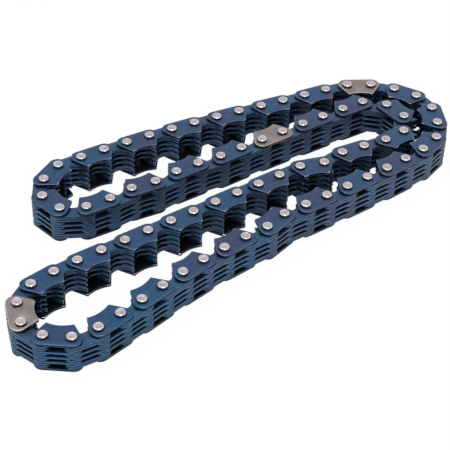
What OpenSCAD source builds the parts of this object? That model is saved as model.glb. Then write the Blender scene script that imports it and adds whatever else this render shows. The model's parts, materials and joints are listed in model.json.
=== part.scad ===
// Silent timing chain, lying on its side and folded like a hairpin.
// It is an endless chain of stacked steel plates on riveted pins. A guide link has a smooth guide
// plate on each face of the chain, with toothed plates between them, and holds the two pins. An inner
// link has only toothed plates, laced between those of its neighbours, and turns on their pins.
// Millimetres, +Z up. The origin is under the middle of the folded chain, and every tooth faces the
// inside of the loop.

/* [Plates] */
// Distance between the two pins of a plate
pitch = 8; // [7.6:0.05:9.5]
// Thickness of one plate
plate_t = 0.9; // [0.6:0.05:1.5]
// Space between two plates of the stack
plate_gap = 0.05; // [0.02:0.01:0.15]
// Distance from the pins to the straight back of a plate
back_y = 3.32; // [3:0.02:3.6]
// Radius of the two corners of the back
back_r = 2.64; // [2:0.02:3]
// Slope of a tooth's flanks from the line through its pin
flank_a = 31; // [28:0.5:34]
// Distance from the pins to where the two flanks of a tooth would meet
tooth_y = 5.08; // [4.6:0.02:5.5]
// Radius of the tip of a tooth
tooth_tip_r = 0.2; // [0.1:0.05:0.35]
// Distance from the pins to the floor of the round gap between two teeth
gap_y = 1.04; // [0.8:0.02:1.4]
// Radius of the two toes of a guide plate
toe_r = 0.4; // [0.2:0.05:0.6]
// Depth of the shallow hollow between the toes of a guide plate
hollow_d = 0.76; // [0.2:0.02:1]
// Radius of that hollow
hollow_r = 9.4; // [8:0.1:20]

/* [Pins] */
// Diameter of a pin's shaft
shaft_d = 2.6; // [2:0.1:2.8]
// Diameter of a pin's riveted head
head_d = 3.2; // [3:0.1:3.8]
// Height of a riveted head above its guide plate
head_h = 0.8; // [0.4:0.05:1]
// Width and height of the bevel round a head
head_bevel = 0.3; // [0.1:0.05:0.35]
// Space between a head and the guide plate that it is riveted down on
head_gap = 0.02; // [0.01:0.01:0.05]
// Space round a pin in the plates that are pressed on it
press_play = 0.01; // [0.01:0.01:0.03]
// Space round a pin in the plates that turn on it
turn_play = 0.05; // [0.03:0.01:0.1]
// Space round the pin at which the loop of joints is opened
open_play = 0.1; // [0.05:0.01:0.2]

/* [Lie of the chain] */
// Direction of the first link, counted from +X
first_heading = -108.8; // [-180:0.1:180]
// How the chain bends at its pins, counter-clockwise seen from above and from the second pin on.
// Each pair says how many pins bend by how many degrees, and a bend to the left is positive.
lower_turn_angles = [[1, 39], [2, 33], [1, 15]];
// The long outer strand from the lower turn to the bend of the hairpin
lower_outer_run_angles = [[3, 0.5], [4, -2.5], [1, 13], [1, -15], [4, 0.5], [2, 2]];
// The wide outer bend of the hairpin
outer_bend_angles = [[1, 13], [1, 28], [1, 16], [2, 27.5], [1, 13], [2, 18.5], [1, 3]];
// The outer strand of the upper lobe
upper_outer_run_angles = [[3, -0.5], [8, 1]];
// The turn at the far end of the upper lobe
upper_turn_angles = [[2, 30.5], [1, 44], [1, 50], [1, 24], [1, 8]];
// The inner strand of the upper lobe
upper_inner_run_angles = [[1, -12], [1, 12], [2, -5], [1, 6], [6, -0.5]];
// The tight inner bend of the hairpin, with the backs of the plates inside
inner_bend_angles = [[2, -40.5], [2, -46], [1, -13]];
// The inner strand of the lower lobe
lower_inner_run_angles = [[1, 1], [1, 15], [1, -25], [1, 18], [9, 0], [2, 3.5]];
// The pin of the outer bend whose turn is trimmed so that the last link closes the loop
closing_pin_index = 21; // [20:1:26]

/* [Hidden] */
// Plates of the stack from top to bottom: g guide, a toothed on a guide link, b toothed on an inner link
lacing = "gbbabababbg";
// Links whose top guide plate is left bright as a timing mark
marked_links = [0, 26, 52];
// Pins in the straight runs at which a guide link and the next inner link are kept as one piece
straight_pin_indices = [5, 7, 9, 11, 15, 17, 31, 33, 35, 37, 39, 47, 49, 51, 53, 65, 67, 69, 71, 73, 75];
// The pin at which the loop of joints is opened
open_pin_index = 46;
// How far a round stands proud of the straight edges that run into it
round_proud = 0.01;
// How far the circle of a tooth gap reaches past its flanks
gap_overcut = 0.06;
// Facets of the round shapes
$fn = 48;

guide_colour = "#33466b";
inner_colour = "#2f6677";
mark_colour = "#9c9890";
pin_colour = "#c9c2c6";

layers = len(lacing);
stack_h = layers * plate_t + (layers - 1) * plate_gap;
stack_z = head_h + head_gap;
total_h = stack_h + 2 * stack_z;

// The bends one by one, from the short lists
function spread(runs) = [for (run = runs, i = [1:run[0]]) run[1]];
bends = concat(
    spread(lower_turn_angles), spread(lower_outer_run_angles), spread(outer_bend_angles),
    spread(upper_outer_run_angles), spread(upper_turn_angles), spread(upper_inner_run_angles),
    spread(inner_bend_angles), spread(lower_inner_run_angles));
links = len(bends) + 2;

// Pins one pitch apart, where the link after pin k runs along headings[k]
function unit(a) = [cos(a), sin(a)];
function step(headings, k) = pitch * unit(headings[min(k, len(headings) - 1)]);
function walk(headings) = [
    for (k = 0, p = [0, 0]; k <= len(headings); p = p + step(headings, k), k = k + 1) p];
function total(list, last) = last < 0 ? 0 : list[last] + total(list, last - 1);
raw_headings = [for (k = [0:links - 2]) first_heading + total(bends, k - 1)];
raw_pins = walk(raw_headings);

// The trimmed turn makes the last pin lie one pitch from the first, by the law of cosines
hub = raw_pins[closing_pin_index];
to_first = raw_pins[0] - hub;
to_last = raw_pins[links - 1] - hub;
raw_angle = acos(to_first * to_last / norm(to_first) / norm(to_last));
closed_angle = acos(
    (norm(to_first) ^ 2 + norm(to_last) ^ 2 - pitch ^ 2) / (2 * norm(to_first) * norm(to_last)));
side = cross(to_first, to_last) > 0 ? 1 : -1;
trim = side * (closed_angle - raw_angle);
pins = walk([for (k = [0:links - 2]) raw_headings[k] + (k < closing_pin_index ? 0 : trim)]);

function pin_at(k) = pins[k % links];
function heading(k) = let (d = pin_at(k + 1) - pin_at(k)) atan2(d[1], d[0]);

// Corner centres of a plate's back: the corner circle touches the back and the tooth's outer flank
corner_y = back_r - back_y;
corner_x = pitch / 2 + (tooth_y - corner_y) * tan(flank_a) - back_r / cos(flank_a);
corners = [
    for (k = [0:links - 1], s = [-1, 1])
    pin_at(k) + (pitch / 2 + s * corner_x) * unit(heading(k)) + corner_y * unit(heading(k) + 90)];
function middle(list) = (min(list) + max(list)) / 2;
centre = [middle([for (c = corners) c[0]]), middle([for (c = corners) c[1]])];

// The corner circles of a plate's back, which the straight edges of every outline run into
module back_corners() {
    for (s = [-1, 1]) translate([pitch / 2 + s * corner_x, corner_y]) circle(back_r);
}

// A point of the outline and its mirror image about the middle of the plate
function right(p) = [pitch / 2 + p[0], p[1]];
function left(p) = [pitch / 2 - p[0], p[1]];
function both_sides(half) = concat(
    [for (p = half) right(p)], [for (i = [len(half) - 1:-1:0]) left(half[i])]);
// Where a straight edge ends inside a round, a hair under the round's rim in direction a
function rim(middle, r, a) = middle + (r - round_proud) * unit(a);
back_end = rim([corner_x, corner_y], back_r, -90);
flank_end = rim([corner_x, corner_y], back_r, flank_a);

// A guide plate ends in two round toes with a shallow hollow between them
module guide_outline() {
    toe = [pitch / 2 + toe_r * tan(flank_a) - toe_r / cos(flank_a), tooth_y - toe_r];
    difference() {
        union() {
            polygon(both_sides([back_end, flank_end, rim(toe, toe_r, flank_a), rim(toe, toe_r, 90)]));
            back_corners();
            for (p = [left(toe), right(toe)]) translate(p) circle(toe_r);
        }
        translate([pitch / 2, tooth_y - hollow_d + hollow_r]) circle(hollow_r);
    }
}

// A toothed plate has a pointed tooth over each pin and a round gap between the two. The gap's circle
// cuts a hair deeper than the line of the inner flanks, so that it meets them in clean corners.
module toothed_outline() {
    tip = [pitch / 2, tooth_y - tooth_tip_r / sin(flank_a)];
    gap_r = gap_overcut + (pitch / 2 * cos(flank_a) - (tooth_y - gap_y) * sin(flank_a)) / (1 - sin(flank_a));
    gap_middle = [0, gap_y + gap_r];
    flank_distance = pitch / 2 * cos(flank_a) - (tooth_y - gap_middle[1]) * sin(flank_a);
    difference() {
        union() {
            polygon(both_sides([
                back_end, flank_end, rim(tip, tooth_tip_r, flank_a), rim(tip, tooth_tip_r, 180 - flank_a),
                gap_middle + (flank_distance + round_proud) * unit(-flank_a)]));
            back_corners();
            for (p = [left(tip), right(tip)]) translate(p) circle(tooth_tip_r);
        }
        translate(right(gap_middle)) circle(gap_r);
    }
}

// One plate in layer n from the top, with its two holes
module layer_plate(n, guide, first_play, last_play) {
    translate([0, 0, stack_z + (layers - 1 - n) * (plate_t + plate_gap)])
        linear_extrude(plate_t)
            difference() {
                if (guide) guide_outline(); else toothed_outline();
                circle(shaft_d / 2 + first_play);
                translate([pitch, 0]) circle(shaft_d / 2 + last_play);
            }
}

// A pin with a bevelled riveted head at each end
module pin() {
    shaft_r = shaft_d / 2;
    head_r = head_d / 2;
    face_r = head_r - head_bevel;
    color(pin_colour)
        rotate_extrude()
            polygon([
                [0, 0], [face_r, 0], [head_r, head_bevel], [head_r, head_h], [shaft_r, head_h],
                [shaft_r, total_h - head_h], [head_r, total_h - head_h], [head_r, total_h - head_bevel],
                [face_r, total_h], [0, total_h]]);
}

// A guide link: its guide plates, its toothed plates and its two pins
module guide_link(marked) {
    color(guide_colour)
        for (n = [0:layers - 1])
            if (lacing[n] == "a" || (lacing[n] == "g" && !(marked && n == 0)))
                layer_plate(n, lacing[n] == "g", press_play, press_play);
    for (x = [0, pitch]) translate([x, 0, 0]) pin();
}

// An inner link: toothed plates that turn on the pins of the two links beside it
module inner_link(first_play, last_play) {
    color(inner_colour)
        for (n = [0:layers - 1])
            if (lacing[n] == "b") layer_plate(n, false, first_play, last_play);
}

// The bright guide plate on top of a marked link
module timing_mark_plate() {
    color(mark_colour) layer_plate(0, true, press_play, press_play);
}

// Puts a link in its place in the loop
module place_link(k) {
    p = pin_at(k) - centre;
    translate([p[0], p[1], 0]) rotate(heading(k)) children();
}

function is_guide(k) = k % 2 == 0;
function is_in(value, list) = len([for (v = list) if (v == value) v]) > 0;
function play_at(k) = k % links == open_pin_index ? open_play : turn_play;

module link(k) {
    place_link(k) {
        if (is_guide(k)) guide_link(is_in(k, marked_links));
        else inner_link(play_at(k), play_at(k + 1));
    }
}

// A piece is one link, or a guide link and the inner link that goes straight on from it
module chain_piece(k) {
    link(k);
    if (is_in(k + 1, straight_pin_indices)) link(k + 1);
}

function two_digits(k) = k < 10 ? str("0", k) : str(k);
function piece_name(k) =
    is_in(k + 1, straight_pin_indices) ? str("link_pair_", two_digits(k), "_", two_digits(k + 1)) :
    is_guide(k) ? str("guide_link_", two_digits(k)) : str("inner_link_", two_digits(k));
function mark_name(k) = str("timing_mark_plate_", two_digits(k));

pieces = [for (k = [0:links - 1]) if (!is_in(k, straight_pin_indices)) k];

for (k = pieces) chain_piece(k);
for (k = marked_links) place_link(k) timing_mark_plate();
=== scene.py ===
import json
import math
import bpy
from mathutils import Matrix, Vector


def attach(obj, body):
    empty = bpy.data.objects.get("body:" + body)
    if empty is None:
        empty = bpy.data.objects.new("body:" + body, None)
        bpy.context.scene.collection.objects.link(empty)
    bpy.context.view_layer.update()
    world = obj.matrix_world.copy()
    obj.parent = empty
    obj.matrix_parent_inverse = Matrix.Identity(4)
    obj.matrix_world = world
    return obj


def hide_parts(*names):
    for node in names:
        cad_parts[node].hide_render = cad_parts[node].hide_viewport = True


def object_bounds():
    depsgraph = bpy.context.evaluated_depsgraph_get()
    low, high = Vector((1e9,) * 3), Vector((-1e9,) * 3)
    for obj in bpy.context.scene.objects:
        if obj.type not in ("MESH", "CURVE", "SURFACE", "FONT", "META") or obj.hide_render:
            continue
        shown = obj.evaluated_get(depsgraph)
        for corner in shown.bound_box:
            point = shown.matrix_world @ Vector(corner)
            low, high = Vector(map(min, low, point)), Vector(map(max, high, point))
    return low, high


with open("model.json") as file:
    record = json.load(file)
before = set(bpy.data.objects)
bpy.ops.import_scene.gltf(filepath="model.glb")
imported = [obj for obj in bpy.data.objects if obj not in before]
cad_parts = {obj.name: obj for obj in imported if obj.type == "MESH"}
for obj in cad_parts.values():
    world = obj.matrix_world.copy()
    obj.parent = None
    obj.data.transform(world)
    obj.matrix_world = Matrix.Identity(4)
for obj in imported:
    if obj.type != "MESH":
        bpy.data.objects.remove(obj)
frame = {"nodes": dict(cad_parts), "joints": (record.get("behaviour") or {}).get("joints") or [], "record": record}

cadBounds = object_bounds()
for leftover in ("Cube", "Light", "Camera"):
    if leftover in bpy.data.objects:
        bpy.data.objects.remove(bpy.data.objects[leftover])
mm = 0.001
print("frame loaded,", len(frame["nodes"]), "nodes")

# The chain: sizes in millimetres, bends in degrees with left turns positive, as in the part's own model.
# Each pair says how many pins bend by how much, from the second pin on.
chain = {
    "pitch": 8.0,
    "firstHeading": -108.8,
    "bends": {
        "lowerTurn": [(1, 39), (2, 33), (1, 15)],
        "lowerOuterRun": [(3, 0.5), (4, -2.5), (1, 13), (1, -15), (4, 0.5), (2, 2)],
        "outerBend": [(1, 13), (1, 28), (1, 16), (2, 27.5), (1, 13), (2, 18.5), (1, 3)],
        "upperOuterRun": [(3, -0.5), (8, 1)],
        "upperTurn": [(2, 30.5), (1, 44), (1, 50), (1, 24), (1, 8)],
        "upperInnerRun": [(1, -12), (1, 12), (2, -5), (1, 6), (6, -0.5)],
        "innerBend": [(2, -40.5), (2, -46), (1, -13)],
        "lowerInnerRun": [(1, 1), (1, 15), (1, -25), (1, 18), (9, 0), (2, 3.5)],
    },
    "closingPin": 21,  # its bend is trimmed so that the loop closes
    "lacing": "gbbabababbg",  # from the top: g guide plates, a teeth of guide links, b plates of inner links
    "markedLinks": [0, 26, 52],
    "plumLinks": [10, 46],  # guide plates of a warmer tint
}


def direction(degrees):
    return Vector((math.cos(math.radians(degrees)), math.sin(math.radians(degrees))))


def walk(headings):
    places = [Vector((0, 0))]
    for heading in headings:
        places.append(places[-1] + chain["pitch"] * direction(heading))
    return places


def pinPlaces():
    headings = [chain["firstHeading"]]
    for run in chain["bends"].values():
        for count, bend in run:
            for _ in range(count):
                headings.append(headings[-1] + bend)
    raw = walk(headings)
    # the closing pin's bend is trimmed so that the last link is one pitch long, by the law of cosines
    hub = raw[chain["closingPin"]]
    toFirst, toLast = raw[0] - hub, raw[-1] - hub
    rawAngle = math.acos(toFirst.dot(toLast) / toFirst.length / toLast.length)
    closedAngle = math.acos(
        (toFirst.length_squared + toLast.length_squared - chain["pitch"] ** 2)
        / (2 * toFirst.length * toLast.length))
    side = 1 if toFirst.x * toLast.y - toFirst.y * toLast.x > 0 else -1
    trim = side * math.degrees(closedAngle - rawAngle)
    places = walk([h + (trim if k >= chain["closingPin"] else 0) for k, h in enumerate(headings)])
    # the frame says where pin 1 lies
    known = next(j for j in frame["joints"] if j["name"].endswith("pin_01"))
    shift = Vector(known["pos_m"][:2]) / mm - places[1]
    return [p + shift for p in places]


pins = pinPlaces()
links = len(pins)


# A link's place: its first pin is at the origin and its second one on the X axis
def linkMatrix(k):
    start, end = pins[k], pins[(k + 1) % links]
    turn = math.atan2(end.y - start.y, end.x - start.x)
    return Matrix.Translation((start.x * mm, start.y * mm, 0)) @ Matrix.Rotation(turn, 4, "Z")


# The finishes: lengths in millimetres, and the rest as Blender's nodes take it.
# The bluing gets warmer from the lower left of the loop to its upper right.
bluing = {
    "finishes": ("guideBlue", "guidePlum", "guideEdge", "guideShadedSide", "innerTeal", "innerLitSide", "innerShadedEdge"),
    "coolEnd": (0.79, 0.885, 0.925),
    "warmEnd": (1.34, 1.03, 1.02),
    "direction": (0.92, 0.39, 0),
    "reach": 80,  # from the middle to each end
}
# The floor shade is painted shade, laid on every finish
# Towards the floor the plates and pins get darker, as in the photo
floorShade = {"from": 0.8, "to": 2.8, "left": 0.7}  # two heights, and the share of the colour left
# Painted shade: the colour darkens in corners and recesses, the more enclosed the darker
paintedCornerShade = {
    "reach": 4.0,
    "span": (0.18, 0.74),  # how open the deepest and the unshaded places are
    "left": 0.08,  # share of the colour left in the deepest
    "samples": 6,
}
# What all finishes share: the part of each noise's range that is used, its finer detail, the grain's height
patterns = {
    "driftSpan": (0.38, 0.62),
    "driftDetail": 2,
    "mottleSpan": (0.3, 0.7),
    "mottleDetail": 4,
    "mottleLift": 0.5,  # the mottle brightens by this share of what it darkens
    "grainHeight": 0.02,
}
# Two colours drift into each other across the plates, under a fine mottle and a little grain
finishes = {
    "guideBlue": {
        "colourA": (0.031, 0.093, 0.180), "colourB": (0.046, 0.077, 0.156), "drift": 60, "mottle": 900,
        "mottleDepth": 0.2, "metallic": 0.9, "roughLow": 0.36, "roughHigh": 0.48, "bump": 0.08, "cornerShading": 1.0},
    "guidePlum": {
        "colourA": (0.045, 0.070, 0.143), "colourB": (0.055, 0.073, 0.132), "drift": 60, "mottle": 900,
        "mottleDepth": 0.2, "metallic": 0.9, "roughLow": 0.36, "roughHigh": 0.48, "bump": 0.08, "cornerShading": 1.0},
    # The guide plates' rounded edges: glossier, which is their own, and lighter, which is a painted highlight
    "guideEdge": {
        "colourA": (0.085, 0.150, 0.250), "colourB": (0.092, 0.132, 0.226), "drift": 60, "mottle": 700,
        "mottleDepth": 0.2, "metallic": 1.0, "roughLow": 0.16, "roughHigh": 0.26, "bump": 0.05, "cornerShading": 0.5},
    # Painted highlight on the edges of the toes and of the teeth's tips
    "toeHighlight": {
        "colourA": (0.40, 0.47, 0.60), "colourB": (0.36, 0.43, 0.56), "drift": 60, "mottle": 700,
        "mottleDepth": 0.2, "metallic": 1.0, "roughLow": 0.14, "roughHigh": 0.22, "bump": 0.05, "cornerShading": 0.3},
    # Painted shade: the guide plates' sides, a darker copy of their face
    "guideShadedSide": {
        "colourA": (0.014, 0.022, 0.046), "colourB": (0.018, 0.018, 0.036), "drift": 38, "mottle": 700,
        "mottleDepth": 0.2, "metallic": 0.9, "roughLow": 0.34, "roughHigh": 0.48, "bump": 0.1, "cornerShading": 1.0},
    "innerTeal": {
        "colourA": (0.036, 0.112, 0.198), "colourB": (0.050, 0.090, 0.162), "drift": 60, "mottle": 520,
        "mottleDepth": 0.25, "metallic": 0.9, "roughLow": 0.34, "roughHigh": 0.5, "bump": 0.12, "cornerShading": 1.0},
    # Painted light: the toothed plates' sides, a lighter copy of their face
    "innerLitSide": {
        "colourA": (0.058, 0.136, 0.236), "colourB": (0.068, 0.116, 0.196), "drift": 90, "mottle": 620,
        "mottleDepth": 0.25, "metallic": 0.9, "roughLow": 0.28, "roughHigh": 0.44, "bump": 0.12, "cornerShading": 1.0,
        "cornerShadingSpan": (0.22, 0.52)},
    # Painted highlight on the sides of the teeth's tips
    "tipSideHighlight": {
        "colourA": (0.13, 0.23, 0.35), "colourB": (0.11, 0.20, 0.31), "drift": 90, "mottle": 620,
        "mottleDepth": 0.25, "metallic": 1.0, "roughLow": 0.2, "roughHigh": 0.3, "bump": 0.1, "cornerShading": 0.6},
    # Painted shade in the grooves between the stacked toothed plates
    "innerShadedEdge": {
        "colourA": (0.022, 0.054, 0.092), "colourB": (0.020, 0.042, 0.074), "drift": 60, "mottle": 520,
        "mottleDepth": 0.25, "metallic": 1.0, "roughLow": 0.3, "roughHigh": 0.5, "bump": 0.05, "cornerShading": 1.0},
    "bareSteel": {
        "colourA": (0.285, 0.252, 0.245), "colourB": (0.235, 0.205, 0.200), "drift": 260, "mottle": 1500,
        "mottleDepth": 0.1, "metallic": 1.0, "roughLow": 0.34, "roughHigh": 0.44, "bump": 0.1, "cornerShading": 0.7},
    # Painted highlight on the mark plates' rounded edges
    "steelEdgeHighlight": {
        "colourA": (0.55, 0.51, 0.48), "colourB": (0.42, 0.38, 0.35), "drift": 260, "mottle": 1500,
        "mottleDepth": 0.1, "metallic": 1.0, "roughLow": 0.2, "roughHigh": 0.3, "bump": 0.05, "cornerShading": 0.2},
    # Painted shade: the mark plates' sides, a darker copy of their face
    "steelShadedSide": {
        "colourA": (0.060, 0.050, 0.044), "colourB": (0.040, 0.034, 0.030), "drift": 260, "mottle": 1500,
        "mottleDepth": 0.1, "metallic": 0.9, "roughLow": 0.3, "roughHigh": 0.4, "bump": 0.1, "cornerShading": 1.0},
    # Painted shade on the faces that look into the stack, towards a neighbour
    "plateInsideShade": {
        "colourA": (0.008, 0.014, 0.026), "colourB": (0.014, 0.014, 0.018), "drift": 90, "mottle": 900,
        "mottleDepth": 0.3, "metallic": 0.8, "roughLow": 0.4, "roughHigh": 0.55, "bump": 0.12, "cornerShading": 1.0},
    "pinFace": {
        "colourA": (0.53, 0.485, 0.505), "colourB": (0.41, 0.37, 0.39), "drift": 900, "mottle": 2200,
        "mottleDepth": 0.2, "metallic": 1.0, "roughLow": 0.5, "roughHigh": 0.62, "bump": 0.2, "cornerShading": 0.5},
    "pinRim": {
        "colourA": (0.60, 0.56, 0.565), "colourB": (0.50, 0.465, 0.47), "drift": 300, "mottle": 1500,
        "mottleDepth": 0.08, "metallic": 1.0, "roughLow": 0.14, "roughHigh": 0.24, "bump": 0.04, "cornerShading": 0.4},
    # Painted shadow: a dark ring on the heads' and shaft's upright walls, where head meets plate
    "pinFootShade": {
        "colourA": (0.030, 0.028, 0.032), "colourB": (0.018, 0.018, 0.022), "drift": 300, "mottle": 1500,
        "mottleDepth": 0.2, "metallic": 0.6, "roughLow": 0.4, "roughHigh": 0.6, "bump": 0.04, "cornerShading": 1.0},
}


# Node helpers: what is fed in is a plain value or another node's output
def feed(tree, socket, value):
    if isinstance(value, bpy.types.NodeSocket):
        tree.links.new(value, socket)
    else:
        socket.default_value = value


def noiseNode(tree, place, scale, detail):
    node = tree.nodes.new("ShaderNodeTexNoise")
    feed(tree, node.inputs["Vector"], place)
    feed(tree, node.inputs["Scale"], scale)
    feed(tree, node.inputs["Detail"], detail)
    return node.outputs["Fac"]


def spanNode(tree, value, fromSpan, toSpan=(0, 1)):
    node = tree.nodes.new("ShaderNodeMapRange")
    feed(tree, node.inputs["Value"], value)
    for limit, number in zip(("From Min", "From Max", "To Min", "To Max"), (*fromSpan, *toSpan)):
        feed(tree, node.inputs[limit], number)
    return node.outputs["Result"]


def colourNode(tree, kind, share, first, second):
    node = tree.nodes.new("ShaderNodeMix")
    node.data_type = "RGBA"
    node.blend_type = kind
    feed(tree, node.inputs["Factor"], share)
    feed(tree, node.inputs["A"], first)
    feed(tree, node.inputs["B"], second)
    return node.outputs["Result"]


def mathNode(tree, operation, first, second):
    node = tree.nodes.new("ShaderNodeMath")
    node.operation = operation
    feed(tree, node.inputs[0], first)
    feed(tree, node.inputs[1], second)
    return node.outputs[0]


def opaque(colour):
    return (*colour, 1)


def bluingTint(tree, place):
    lean = tree.nodes.new("ShaderNodeVectorMath")
    lean.operation = "DOT_PRODUCT"
    feed(tree, lean.inputs[0], place)
    feed(tree, lean.inputs[1], bluing["direction"])
    reach = bluing["reach"] * mm
    along = spanNode(tree, lean.outputs["Value"], (-reach, reach))
    return colourNode(tree, "MIX", along, opaque(bluing["coolEnd"]), opaque(bluing["warmEnd"]))


def lowDarkness(tree, place):
    split = tree.nodes.new("ShaderNodeSeparateXYZ")
    feed(tree, split.inputs["Vector"], place)
    heights = (floorShade["from"] * mm, floorShade["to"] * mm)
    return spanNode(tree, split.outputs["Z"], heights, (floorShade["left"], 1))


# Painted shade in the corners, from how enclosed each place is
def cornerShadeNode(tree, span):
    corners = tree.nodes.new("ShaderNodeAmbientOcclusion")
    corners.samples = paintedCornerShade["samples"]
    feed(tree, corners.inputs["Distance"], paintedCornerShade["reach"] * mm)
    return spanNode(tree, corners.outputs["AO"], span, (paintedCornerShade["left"], 1))


def makeFinish(name):
    look = finishes[name]
    material = bpy.data.materials.new(name)
    material.use_nodes = True
    tree = material.node_tree
    place = tree.nodes.new("ShaderNodeTexCoord").outputs["Object"]
    drift = noiseNode(tree, place, look["drift"], patterns["driftDetail"])
    share = spanNode(tree, drift, patterns["driftSpan"])
    colour = colourNode(tree, "MIX", share, opaque(look["colourA"]), opaque(look["colourB"]))
    mottle = noiseNode(tree, place, look["mottle"], patterns["mottleDetail"])
    depth = look["mottleDepth"]
    shade = spanNode(tree, mottle, patterns["mottleSpan"], (1 - depth, 1 + depth * patterns["mottleLift"]))
    colour = colourNode(tree, "MULTIPLY", 1, colour, shade)
    if name in bluing["finishes"]:
        colour = colourNode(tree, "MULTIPLY", 1, colour, bluingTint(tree, place))
    # painted shade towards the floor
    colour = colourNode(tree, "MULTIPLY", 1, colour, lowDarkness(tree, place))
    # the painted corner shade, at each finish's own share
    cornerShading = cornerShadeNode(tree, look.get("cornerShadingSpan", paintedCornerShade["span"]))
    colour = colourNode(tree, "MULTIPLY", look["cornerShading"], colour, cornerShading)
    grain = tree.nodes.new("ShaderNodeBump")
    feed(tree, grain.inputs["Strength"], look["bump"])
    feed(tree, grain.inputs["Distance"], patterns["grainHeight"] * mm)
    feed(tree, grain.inputs["Height"], mottle)
    shader = tree.nodes["Principled BSDF"]
    feed(tree, shader.inputs["Metallic"], look["metallic"])
    feed(tree, shader.inputs["Base Color"], colour)
    roughness = spanNode(tree, mottle, (0, 1), (look["roughLow"], look["roughHigh"]))
    feed(tree, shader.inputs["Roughness"], roughness)
    feed(tree, shader.inputs["Normal"], grain.outputs["Normal"])
    return material


materials = {name: makeFinish(name) for name in finishes}
print("finishes made")

# A face lies or stands where its normal's share upwards is above or below these
lying, standing = 0.9, 0.1
weld = 0.002  # points closer than this many millimetres become one


# Outlines are drawn in edit mode, one end vertex at a time
def startOutline(name, place):
    bpy.ops.object.select_all(action="DESELECT")
    bpy.ops.mesh.primitive_plane_add(size=mm, location=Vector(place) * mm)
    bpy.context.object.name = name
    bpy.ops.object.mode_set(mode="EDIT")
    bpy.ops.mesh.select_mode(type="VERT")
    bpy.ops.mesh.merge(type="CENTER")


def extend(step):
    bpy.ops.mesh.extrude_region_move(TRANSFORM_OT_translate={"value": tuple(c * mm for c in step)})


def lineTo(here, point):
    step = Vector(point) - here
    extend((step.x, step.y, 0))
    return Vector(point)


def arcRound(here, middle, degrees, steps):
    middle = Vector(middle)
    bpy.ops.mesh.spin(
        steps=steps, angle=-math.radians(degrees), center=(middle.x * mm, middle.y * mm, 0), axis=(0, 0, 1))
    return middle + Matrix.Rotation(math.radians(degrees), 2) @ (here - middle)


# The faces are turned outwards, and the object's place goes into its mesh
def leaveEditMode():
    bpy.ops.mesh.select_all(action="SELECT")
    bpy.ops.mesh.normals_make_consistent(inside=False)
    bpy.ops.object.mode_set(mode="OBJECT")
    piece = bpy.context.object
    piece.data.transform(piece.matrix_world)
    piece.matrix_world = Matrix.Identity(4)
    return piece


# The plates: sizes in millimetres, angles in degrees.
# Y points from the straight back to the teeth, and the pins are at 0 and one pitch on X.
plate = {
    "thickness": 0.9,
    "gap": 0.05,  # between neighbours in the stack
    "backY": 3.32,
    "backRadius": 2.64,
    "flankAngle": 31.0,
    "toothY": 5.08,
    "toothTipRadius": 0.2,
    "toothGapY": 1.04,
    "toeRadius": 0.6,
    "hollowDepth": 0.76,
    "hollowRadius": 9.4,
    "holeRadius": 1.38,
    "innerFlankBack": 0.3,
    "guideEdgeRound": 0.22,  # rounding of the punched edges
    "toothedEdgeRound": 0.12,
    "edgesFrom": 60,  # what bends by more than this is a punched edge
    "smoothUpTo": 35,
    "toeShine": 0.34,  # the toes carry a painted highlight this far down from their ends
    "tipShine": 0.1,  # and the tips of the teeth this far down from the middle of their round
    "holeSides": 16,
    "edgeSteps": 2,
    "cornerSteps": 7,
    "toeSteps": 5,
    "hollowSteps": 8,
    "tipSteps": 2,
    "gapSteps": 7,
}
# A plate's slots, and what goes in them on each kind of plate
upperSlot, edgeSlot, sideSlot, lowerSlot, highlightSlot, tipSlot = range(6)
plateFinishes = {
    "guide": ("guideBlue", "guideEdge", "guideShadedSide", "plateInsideShade", "toeHighlight", "guideShadedSide"),
    "toothed": ("innerTeal", "innerShadedEdge", "innerLitSide", "plateInsideShade", "toeHighlight", "tipSideHighlight"),
    "mark": ("bareSteel", "steelEdgeHighlight", "steelShadedSide", "plateInsideShade", "steelEdgeHighlight", "steelShadedSide"),
}


def punchPlate():
    bpy.ops.mesh.select_all(action="SELECT")
    bpy.ops.mesh.remove_doubles(threshold=weld * mm)
    for x in (0, chain["pitch"]):
        bpy.ops.mesh.primitive_circle_add(
            vertices=plate["holeSides"], radius=plate["holeRadius"] * mm, location=(x * mm, 0, 0))
    bpy.ops.mesh.select_all(action="SELECT")
    bpy.ops.mesh.fill(use_beauty=True)
    bpy.ops.mesh.select_all(action="SELECT")
    extend((0, 0, plate["thickness"]))
    return leaveEditMode()


# What lies beyond shineY, towards the teeth, takes the highlight slots: a painted highlight on the edges, and on
# the toothed plates' tooth sides
def finishPlate(kind, edgeRound, shineY):
    piece = punchPlate()
    for finish in plateFinishes[kind]:
        piece.data.materials.append(materials[finish])
    rounding = piece.modifiers.new("edges", "BEVEL")
    rounding.width = edgeRound * mm
    rounding.segments = plate["edgeSteps"]
    rounding.material = edgeSlot
    rounding.use_clamp_overlap = False  # the short steps of the toes would stop it
    rounding.limit_method = "ANGLE"
    rounding.angle_limit = math.radians(plate["edgesFrom"])
    bpy.ops.object.modifier_apply(modifier=rounding.name)
    for face in piece.data.polygons:
        highlighted = face.center.y > shineY * mm
        if face.material_index == edgeSlot:
            face.material_index = highlightSlot if highlighted else edgeSlot
        elif face.normal.z < -lying:
            face.material_index = lowerSlot
        elif face.normal.z < standing:
            face.material_index = tipSlot if highlighted else sideSlot
    bpy.ops.object.shade_smooth_by_angle(angle=math.radians(plate["smoothUpTo"]))
    return piece


# The middle of a back corner's round, from half a pitch on the pins' line. The round touches back and flank.
def cornerMiddle():
    flank = math.radians(plate["flankAngle"])
    y = plate["backRadius"] - plate["backY"]
    x = (chain["pitch"] / 2 + (plate["toothY"] - y) * math.tan(flank)
         - plate["backRadius"] / math.cos(flank))
    return Vector((x, y))


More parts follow.
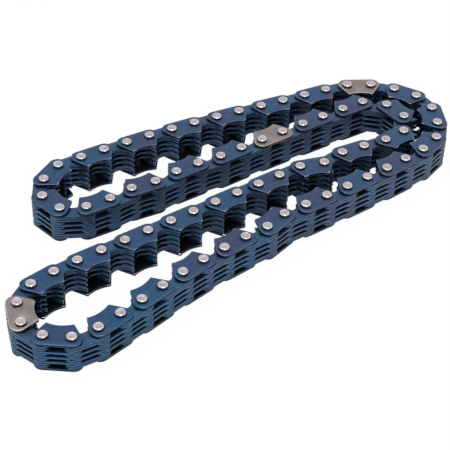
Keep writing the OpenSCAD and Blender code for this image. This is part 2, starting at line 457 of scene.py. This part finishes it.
# An outline runs from one end of the straight back to the other, with its middle at half a pitch
def drawBack(name):
    half = chain["pitch"] / 2
    corner = cornerMiddle()
    startOutline(name, (half - corner.x, -plate["backY"], 0))
    here = lineTo(Vector((half - corner.x, -plate["backY"])), (half + corner.x, -plate["backY"]))
    return arcRound(here, (half + corner.x, corner.y), 90 + plate["flankAngle"], plate["cornerSteps"])


def closeBack(here):
    corner = cornerMiddle()
    corner.x = chain["pitch"] / 2 - corner.x
    here = lineTo(here, corner + plate["backRadius"] * direction(180 - plate["flankAngle"]))
    arcRound(here, corner, 90 + plate["flankAngle"], plate["cornerSteps"])


def makeGuidePlate(name):
    half, flank = chain["pitch"] / 2, plate["flankAngle"]
    toeR, hollowR = plate["toeRadius"], plate["hollowRadius"]
    # the toe's round touches the flank and the hollow
    outward = direction(flank)
    reach = (half * outward.x + plate["toothY"] * outward.y) - toeR
    hollowMiddle = Vector((0, plate["toothY"] - plate["hollowDepth"] + hollowR))
    across = reach * outward - hollowMiddle
    along = Vector((-outward.y, outward.x))
    lean = across.dot(along)
    slide = math.sqrt((hollowR + toeR) ** 2 - across.length_squared + lean ** 2) + lean
    toe = reach * outward - slide * along
    sweep = math.degrees(math.asin(toe.x / (hollowR + toeR)))
    here = drawBack(name)
    here = lineTo(here, toe + Vector((half, 0)) + toeR * outward)
    here = arcRound(here, (half + toe.x, toe.y), 90 - flank + sweep, plate["toeSteps"])
    here = arcRound(here, (half, hollowMiddle.y), -2 * sweep, plate["hollowSteps"])
    here = arcRound(here, (half - toe.x, toe.y), 90 - flank + sweep, plate["toeSteps"])
    closeBack(here)
    return finishPlate("guide", plate["guideEdgeRound"], plate["toothY"] - plate["toeShine"])


# The inner flanks stand back from the outer flanks of the neighbour's teeth on the same pin
def makeToothedPlate(name):
    half, flank = chain["pitch"] / 2, plate["flankAngle"]
    tilt = math.radians(flank)
    tipR, back = plate["toothTipRadius"], plate["innerFlankBack"]
    # the tip's round touches the outer flank and the set-back inner flank
    tip = Vector((half + back / 2 / math.cos(tilt), plate["toothY"] - (tipR + back / 2) / math.sin(tilt)))
    # the gap's round touches both inner flanks
    room = half * math.cos(tilt) - (plate["toothY"] - plate["toothGapY"]) * math.sin(tilt) + back
    gapR = room / (1 - math.sin(tilt))
    gapMiddle = Vector((half, plate["toothGapY"] + gapR))
    here = drawBack(name)
    here = lineTo(here, Vector((half + tip.x, tip.y)) + tipR * direction(flank))
    here = arcRound(here, (half + tip.x, tip.y), 180 - 2 * flank, plate["tipSteps"])
    here = lineTo(here, gapMiddle + gapR * direction(-flank))
    here = arcRound(here, gapMiddle, flank * 2 - 180, plate["gapSteps"])
    here = lineTo(here, Vector((half - tip.x, tip.y)) + tipR * direction(flank))
    here = arcRound(here, (half - tip.x, tip.y), 180 - 2 * flank, plate["tipSteps"])
    closeBack(here)
    return finishPlate("toothed", plate["toothedEdgeRound"], tip.y - plate["tipShine"])


# The pins: sizes in millimetres, the angle in degrees
pin = {
    "shaftRadius": 1.3,
    "headRadius": 1.6,
    "headHeight": 0.8,
    "headGap": 0.02,  # between a head and its guide plate
    "rimRound": 0.4,  # rounded rim of a head
    "faceRadius": 1.1,  # flat face inside the rim
    "faceDip": 0.05,
    "smoothUpTo": 50,
    "rimSteps": 4,
    "sides": 22,
}
rimSlot, faceSlot, footSlot = range(3)
layers = len(chain["lacing"])
stackZ = pin["headHeight"] + pin["headGap"]
totalHeight = 2 * stackZ + layers * plate["thickness"] + (layers - 1) * plate["gap"]


# Half of the profile is drawn upwards from the middle, spun round the axis and mirrored down
def makePin(name):
    headR, rimR, shaftR = pin["headRadius"], pin["rimRound"], pin["shaftRadius"]
    middleZ = totalHeight / 2
    startOutline(name, (shaftR, 0, middleZ))
    extend((0, 0, middleZ - pin["headHeight"]))
    extend((headR - shaftR, 0, 0))
    extend((0, 0, pin["headHeight"] - rimR))
    # the rim's quarter round, then the flat face a little under the rim
    last = Vector((0, 0, 0))
    for i in range(1, pin["rimSteps"] + 1):
        a = math.radians(90 * i / pin["rimSteps"])
        point = Vector((rimR * (math.cos(a) - 1), 0, rimR * math.sin(a)))
        extend(point - last)
        last = point
    extend((pin["faceRadius"] + rimR - headR, 0, -pin["faceDip"]))
    extend((-pin["faceRadius"], 0, 0))
    bpy.ops.mesh.select_all(action="SELECT")
    bpy.ops.mesh.spin(steps=pin["sides"], angle=math.radians(360), center=(0, 0, 0), axis=(0, 0, 1))
    bpy.ops.mesh.select_all(action="SELECT")
    bpy.ops.mesh.remove_doubles(threshold=weld * mm)
    piece = leaveEditMode()
    mirror = piece.modifiers.new("lower half", "MIRROR")
    mirror.use_axis = (False, False, True)
    mirror.merge_threshold = weld * mm
    piece.data.transform(Matrix.Translation((0, 0, -middleZ * mm)))
    bpy.ops.object.modifier_apply(modifier=mirror.name)
    piece.data.transform(Matrix.Translation((0, 0, middleZ * mm)))
    for finish in ("pinRim", "pinFace", "pinFootShade"):
        piece.data.materials.append(materials[finish])
    for face in piece.data.polygons:
        inFace = face.center.xy.length < pin["faceRadius"] * mm
        if inFace and abs(face.normal.z) > lying:
            face.material_index = faceSlot
        elif abs(face.normal.z) < standing:
            face.material_index = footSlot
    bpy.ops.object.shade_smooth_by_angle(angle=math.radians(pin["smoothUpTo"]))
    return piece


def layerZ(n):
    return stackZ + (layers - 1 - n) * (plate["thickness"] + plate["gap"])


def copyOf(master, name, matrix):
    twin = bpy.data.objects.new(name, master.data.copy())
    bpy.context.scene.collection.objects.link(twin)
    twin.data.transform(matrix)
    return twin


# All plates of one link that have the same letter in the lacing, as one piece
def makeStack(master, letter, name):
    parts = [copyOf(master, name, Matrix.Translation((0, 0, layerZ(n) * mm)))
             for n in range(layers) if chain["lacing"][n] == letter]
    bpy.ops.object.select_all(action="DESELECT")
    for part in parts:
        part.select_set(True)
    bpy.context.view_layer.objects.active = parts[0]
    bpy.ops.object.join()
    return parts[0]


guideMaster = makeGuidePlate("guidePlate")
toothedMaster = makeToothedPlate("toothedPlate")
guideTeethMaster = makeStack(toothedMaster, "a", "guideTeeth")
innerStackMaster = makeStack(toothedMaster, "b", "innerStack")
pinMaster = makePin("pin")
print("plates and pin modelled:", len(guideMaster.data.polygons), len(toothedMaster.data.polygons),
      len(pinMaster.data.polygons), "faces")

# A node's name ends with the numbers of its links
nodeOfLink = {}
for node in frame["nodes"]:
    if not node.startswith("timing_mark"):
        for word in node.split("_"):
            if word.isdigit():
                nodeOfLink[int(word)] = node
bodyOfNode = {node: body for body, held in frame["record"]["behaviour"]["bodies"].items() for node in held}


def mount(piece, node):
    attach(piece, bodyOfNode[node])
    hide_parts(node)


# The lower guide plate is turned over about its middle, so that its good face is outside
def dressGuidePlate(k, place, side):
    tag = f"{k:02d}"
    if side == "top":
        lie = Matrix.Translation((0, 0, layerZ(0) * mm))
    else:
        lie = Matrix.Translation((chain["pitch"] * mm, 0, (layerZ(layers - 1) + plate["thickness"]) * mm))
        lie = lie @ Matrix.Rotation(math.pi, 4, "Y")
    if side == "top" and k in chain["markedLinks"]:
        cover = copyOf(guideMaster, f"markPlate_{side}_{tag}", place @ lie)
        for slot, finish in enumerate(plateFinishes["mark"]):
            cover.data.materials[slot] = materials[finish]
        mount(cover, "timing_mark_plate_" + tag)
    else:
        cover = copyOf(guideMaster, f"guidePlate_{side}_{tag}", place @ lie)
        if side == "top" and k in chain["plumLinks"]:
            cover.data.materials[upperSlot] = materials["guidePlum"]
        mount(cover, nodeOfLink[k])


def dressGuideLink(k):
    place, node = linkMatrix(k), nodeOfLink[k]
    dressGuidePlate(k, place, "top")
    dressGuidePlate(k, place, "bottom")
    mount(copyOf(guideTeethMaster, f"guideLinkTeeth_{k:02d}", place), node)
    for end in (0, 1):
        pinPlace = place @ Matrix.Translation((end * chain["pitch"] * mm, 0, 0))
        mount(copyOf(pinMaster, f"pin_{(k + end) % links:02d}", pinPlace), node)


def dressInnerLink(k):
    mount(copyOf(innerStackMaster, f"innerPlates_{k:02d}", linkMatrix(k)), nodeOfLink[k])


# Guide links have even numbers
for k in range(0, links, 2):
    dressGuideLink(k)
    dressInnerLink(k + 1)
for master in (guideMaster, toothedMaster, guideTeethMaster, innerStackMaster, pinMaster):
    bpy.data.objects.remove(master)
print("chain dressed,", links, "links")

# Pale floor and backdrop
stageLook = {
    "floorSize": 3.0,  # metres
    "floorDrop": 0.02,  # millimetres that it lies under the chain
    "floorColour": (0.86, 0.86, 0.86, 1),
    "floorRoughness": 0.9,
    "floorSpecular": 0.1,
    "whiteShare": 0.95,  # the rest of what the camera sees of the floor is its colour and shadows
}


def mixShaders(tree, share, first, second, surface):
    mix = tree.nodes.new("ShaderNodeMixShader")
    feed(tree, mix.inputs["Fac"], share)
    feed(tree, mix.inputs[1], first)
    feed(tree, mix.inputs[2], second)
    feed(tree, surface, mix.outputs[0])


def makeFloor():
    bpy.ops.object.select_all(action="DESELECT")
    bpy.ops.mesh.primitive_plane_add(
        size=stageLook["floorSize"], location=(0, 0, cadBounds[0].z - stageLook["floorDrop"] * mm))
    floor = bpy.context.object
    floor.name = "floor"
    material = bpy.data.materials.new("paleFloor")
    material.use_nodes = True
    tree = material.node_tree
    shader = tree.nodes["Principled BSDF"]
    feed(tree, shader.inputs["Base Color"], stageLook["floorColour"])
    feed(tree, shader.inputs["Roughness"], stageLook["floorRoughness"])
    feed(tree, shader.inputs["Specular IOR Level"], stageLook["floorSpecular"])
    white = tree.nodes.new("ShaderNodeEmission")
    feed(tree, white.inputs["Strength"], 1)
    path = tree.nodes.new("ShaderNodeLightPath").outputs
    seen = mathNode(tree, "MAXIMUM", path["Is Camera Ray"], path["Is Transmission Ray"])
    share = mathNode(tree, "MULTIPLY", seen, stageLook["whiteShare"])
    surface = tree.nodes["Material Output"].inputs["Surface"]
    mixShaders(tree, share, shader.outputs[0], white.outputs[0], surface)
    floor.data.materials.append(material)


studio = {
    "worldLevel": 0.85,  # light from all round
    "lamps": {
        # degrees round from +X, degrees up, metres away, metres wide, and brightness beside the white's 1
        "softTop": (100, 78, 0.9, 0.5, 1.3),
        "frontKey": (250, 52, 0.9, 0.3, 12.0),
        "sideStrip": (-25, 30, 0.8, 0.25, 2.5),
        "leftStrip": (168, 28, 0.8, 0.25, 2.5),
    },
}


# The world lights the chain evenly, and is white where the camera or a shiny piece sees it
def makeWorld():
    world = bpy.data.worlds.new("studio")
    bpy.context.scene.world = world
    world.use_nodes = True
    tree = world.node_tree
    back, white = tree.nodes["Background"], tree.nodes.new("ShaderNodeBackground")
    for light, level in ((back, studio["worldLevel"]), (white, 1)):
        feed(tree, light.inputs["Color"], (1, 1, 1, 1))
        feed(tree, light.inputs["Strength"], level)
    path = tree.nodes.new("ShaderNodeLightPath").outputs
    seen = mathNode(tree, "MAXIMUM", path["Is Camera Ray"], path["Is Glossy Ray"])
    seen = mathNode(tree, "MAXIMUM", seen, path["Is Transmission Ray"])
    surface = tree.nodes["World Output"].inputs["Surface"]
    mixShaders(tree, seen, back.outputs[0], white.outputs[0], surface)


def makeLamp(name, compass, height, distance, size, brightness):
    lamp = bpy.data.lights.new(name, "AREA")
    lamp.size = size
    lamp.energy = brightness * math.pi * size ** 2  # a square lamp's watts for this brightness
    holder = bpy.data.objects.new(name, lamp)
    bpy.context.scene.collection.objects.link(holder)
    c, h = math.radians(compass), math.radians(height)
    toward = Vector((math.cos(c) * math.cos(h), math.sin(c) * math.cos(h), math.sin(h)))
    holder.location = toward * distance
    holder.rotation_mode = "QUATERNION"
    holder.rotation_quaternion = toward.to_track_quat("Z", "Y")


# The photo's camera: lengths in millimetres, angles in degrees
camera = {
    "aim": (-6.922, -11.787, 6.0),  # the point that its middle looks at
    "distance": 421.4,
    "heading": 34.108,  # from +Y towards +X
    "down": 41.337,
    "roll": 1.719,
    "lens": 111.011,
    "sensorWidth": 36,
    "clip": (10, 20000),  # the nearest and the farthest that it sees
}


def makeCamera():
    heading, down = math.radians(camera["heading"]), math.radians(camera["down"])
    level = math.cos(down)
    forward = Vector((math.sin(heading) * level, math.cos(heading) * level, -math.sin(down)))
    data = bpy.data.cameras.new("photoCamera")
    data.lens = camera["lens"]
    data.sensor_width = camera["sensorWidth"]
    data.clip_start, data.clip_end = (reach * mm for reach in camera["clip"])
    holder = bpy.data.objects.new("photoCamera", data)
    bpy.context.scene.collection.objects.link(holder)
    holder.rotation_mode = "QUATERNION"
    roll = Matrix.Rotation(math.radians(camera["roll"]), 3, "Z")
    holder.rotation_quaternion = (forward.to_track_quat("-Z", "Y").to_matrix() @ roll).to_quaternion()
    holder.location = (Vector(camera["aim"]) - forward * camera["distance"]) * mm
    bpy.context.scene.camera = holder


makeFloor()
makeWorld()
for name, settings in studio["lamps"].items():
    makeLamp(name, *settings)
makeCamera()
bpy.context.scene.view_settings.view_transform = "Standard"
print("stage, light and camera set")
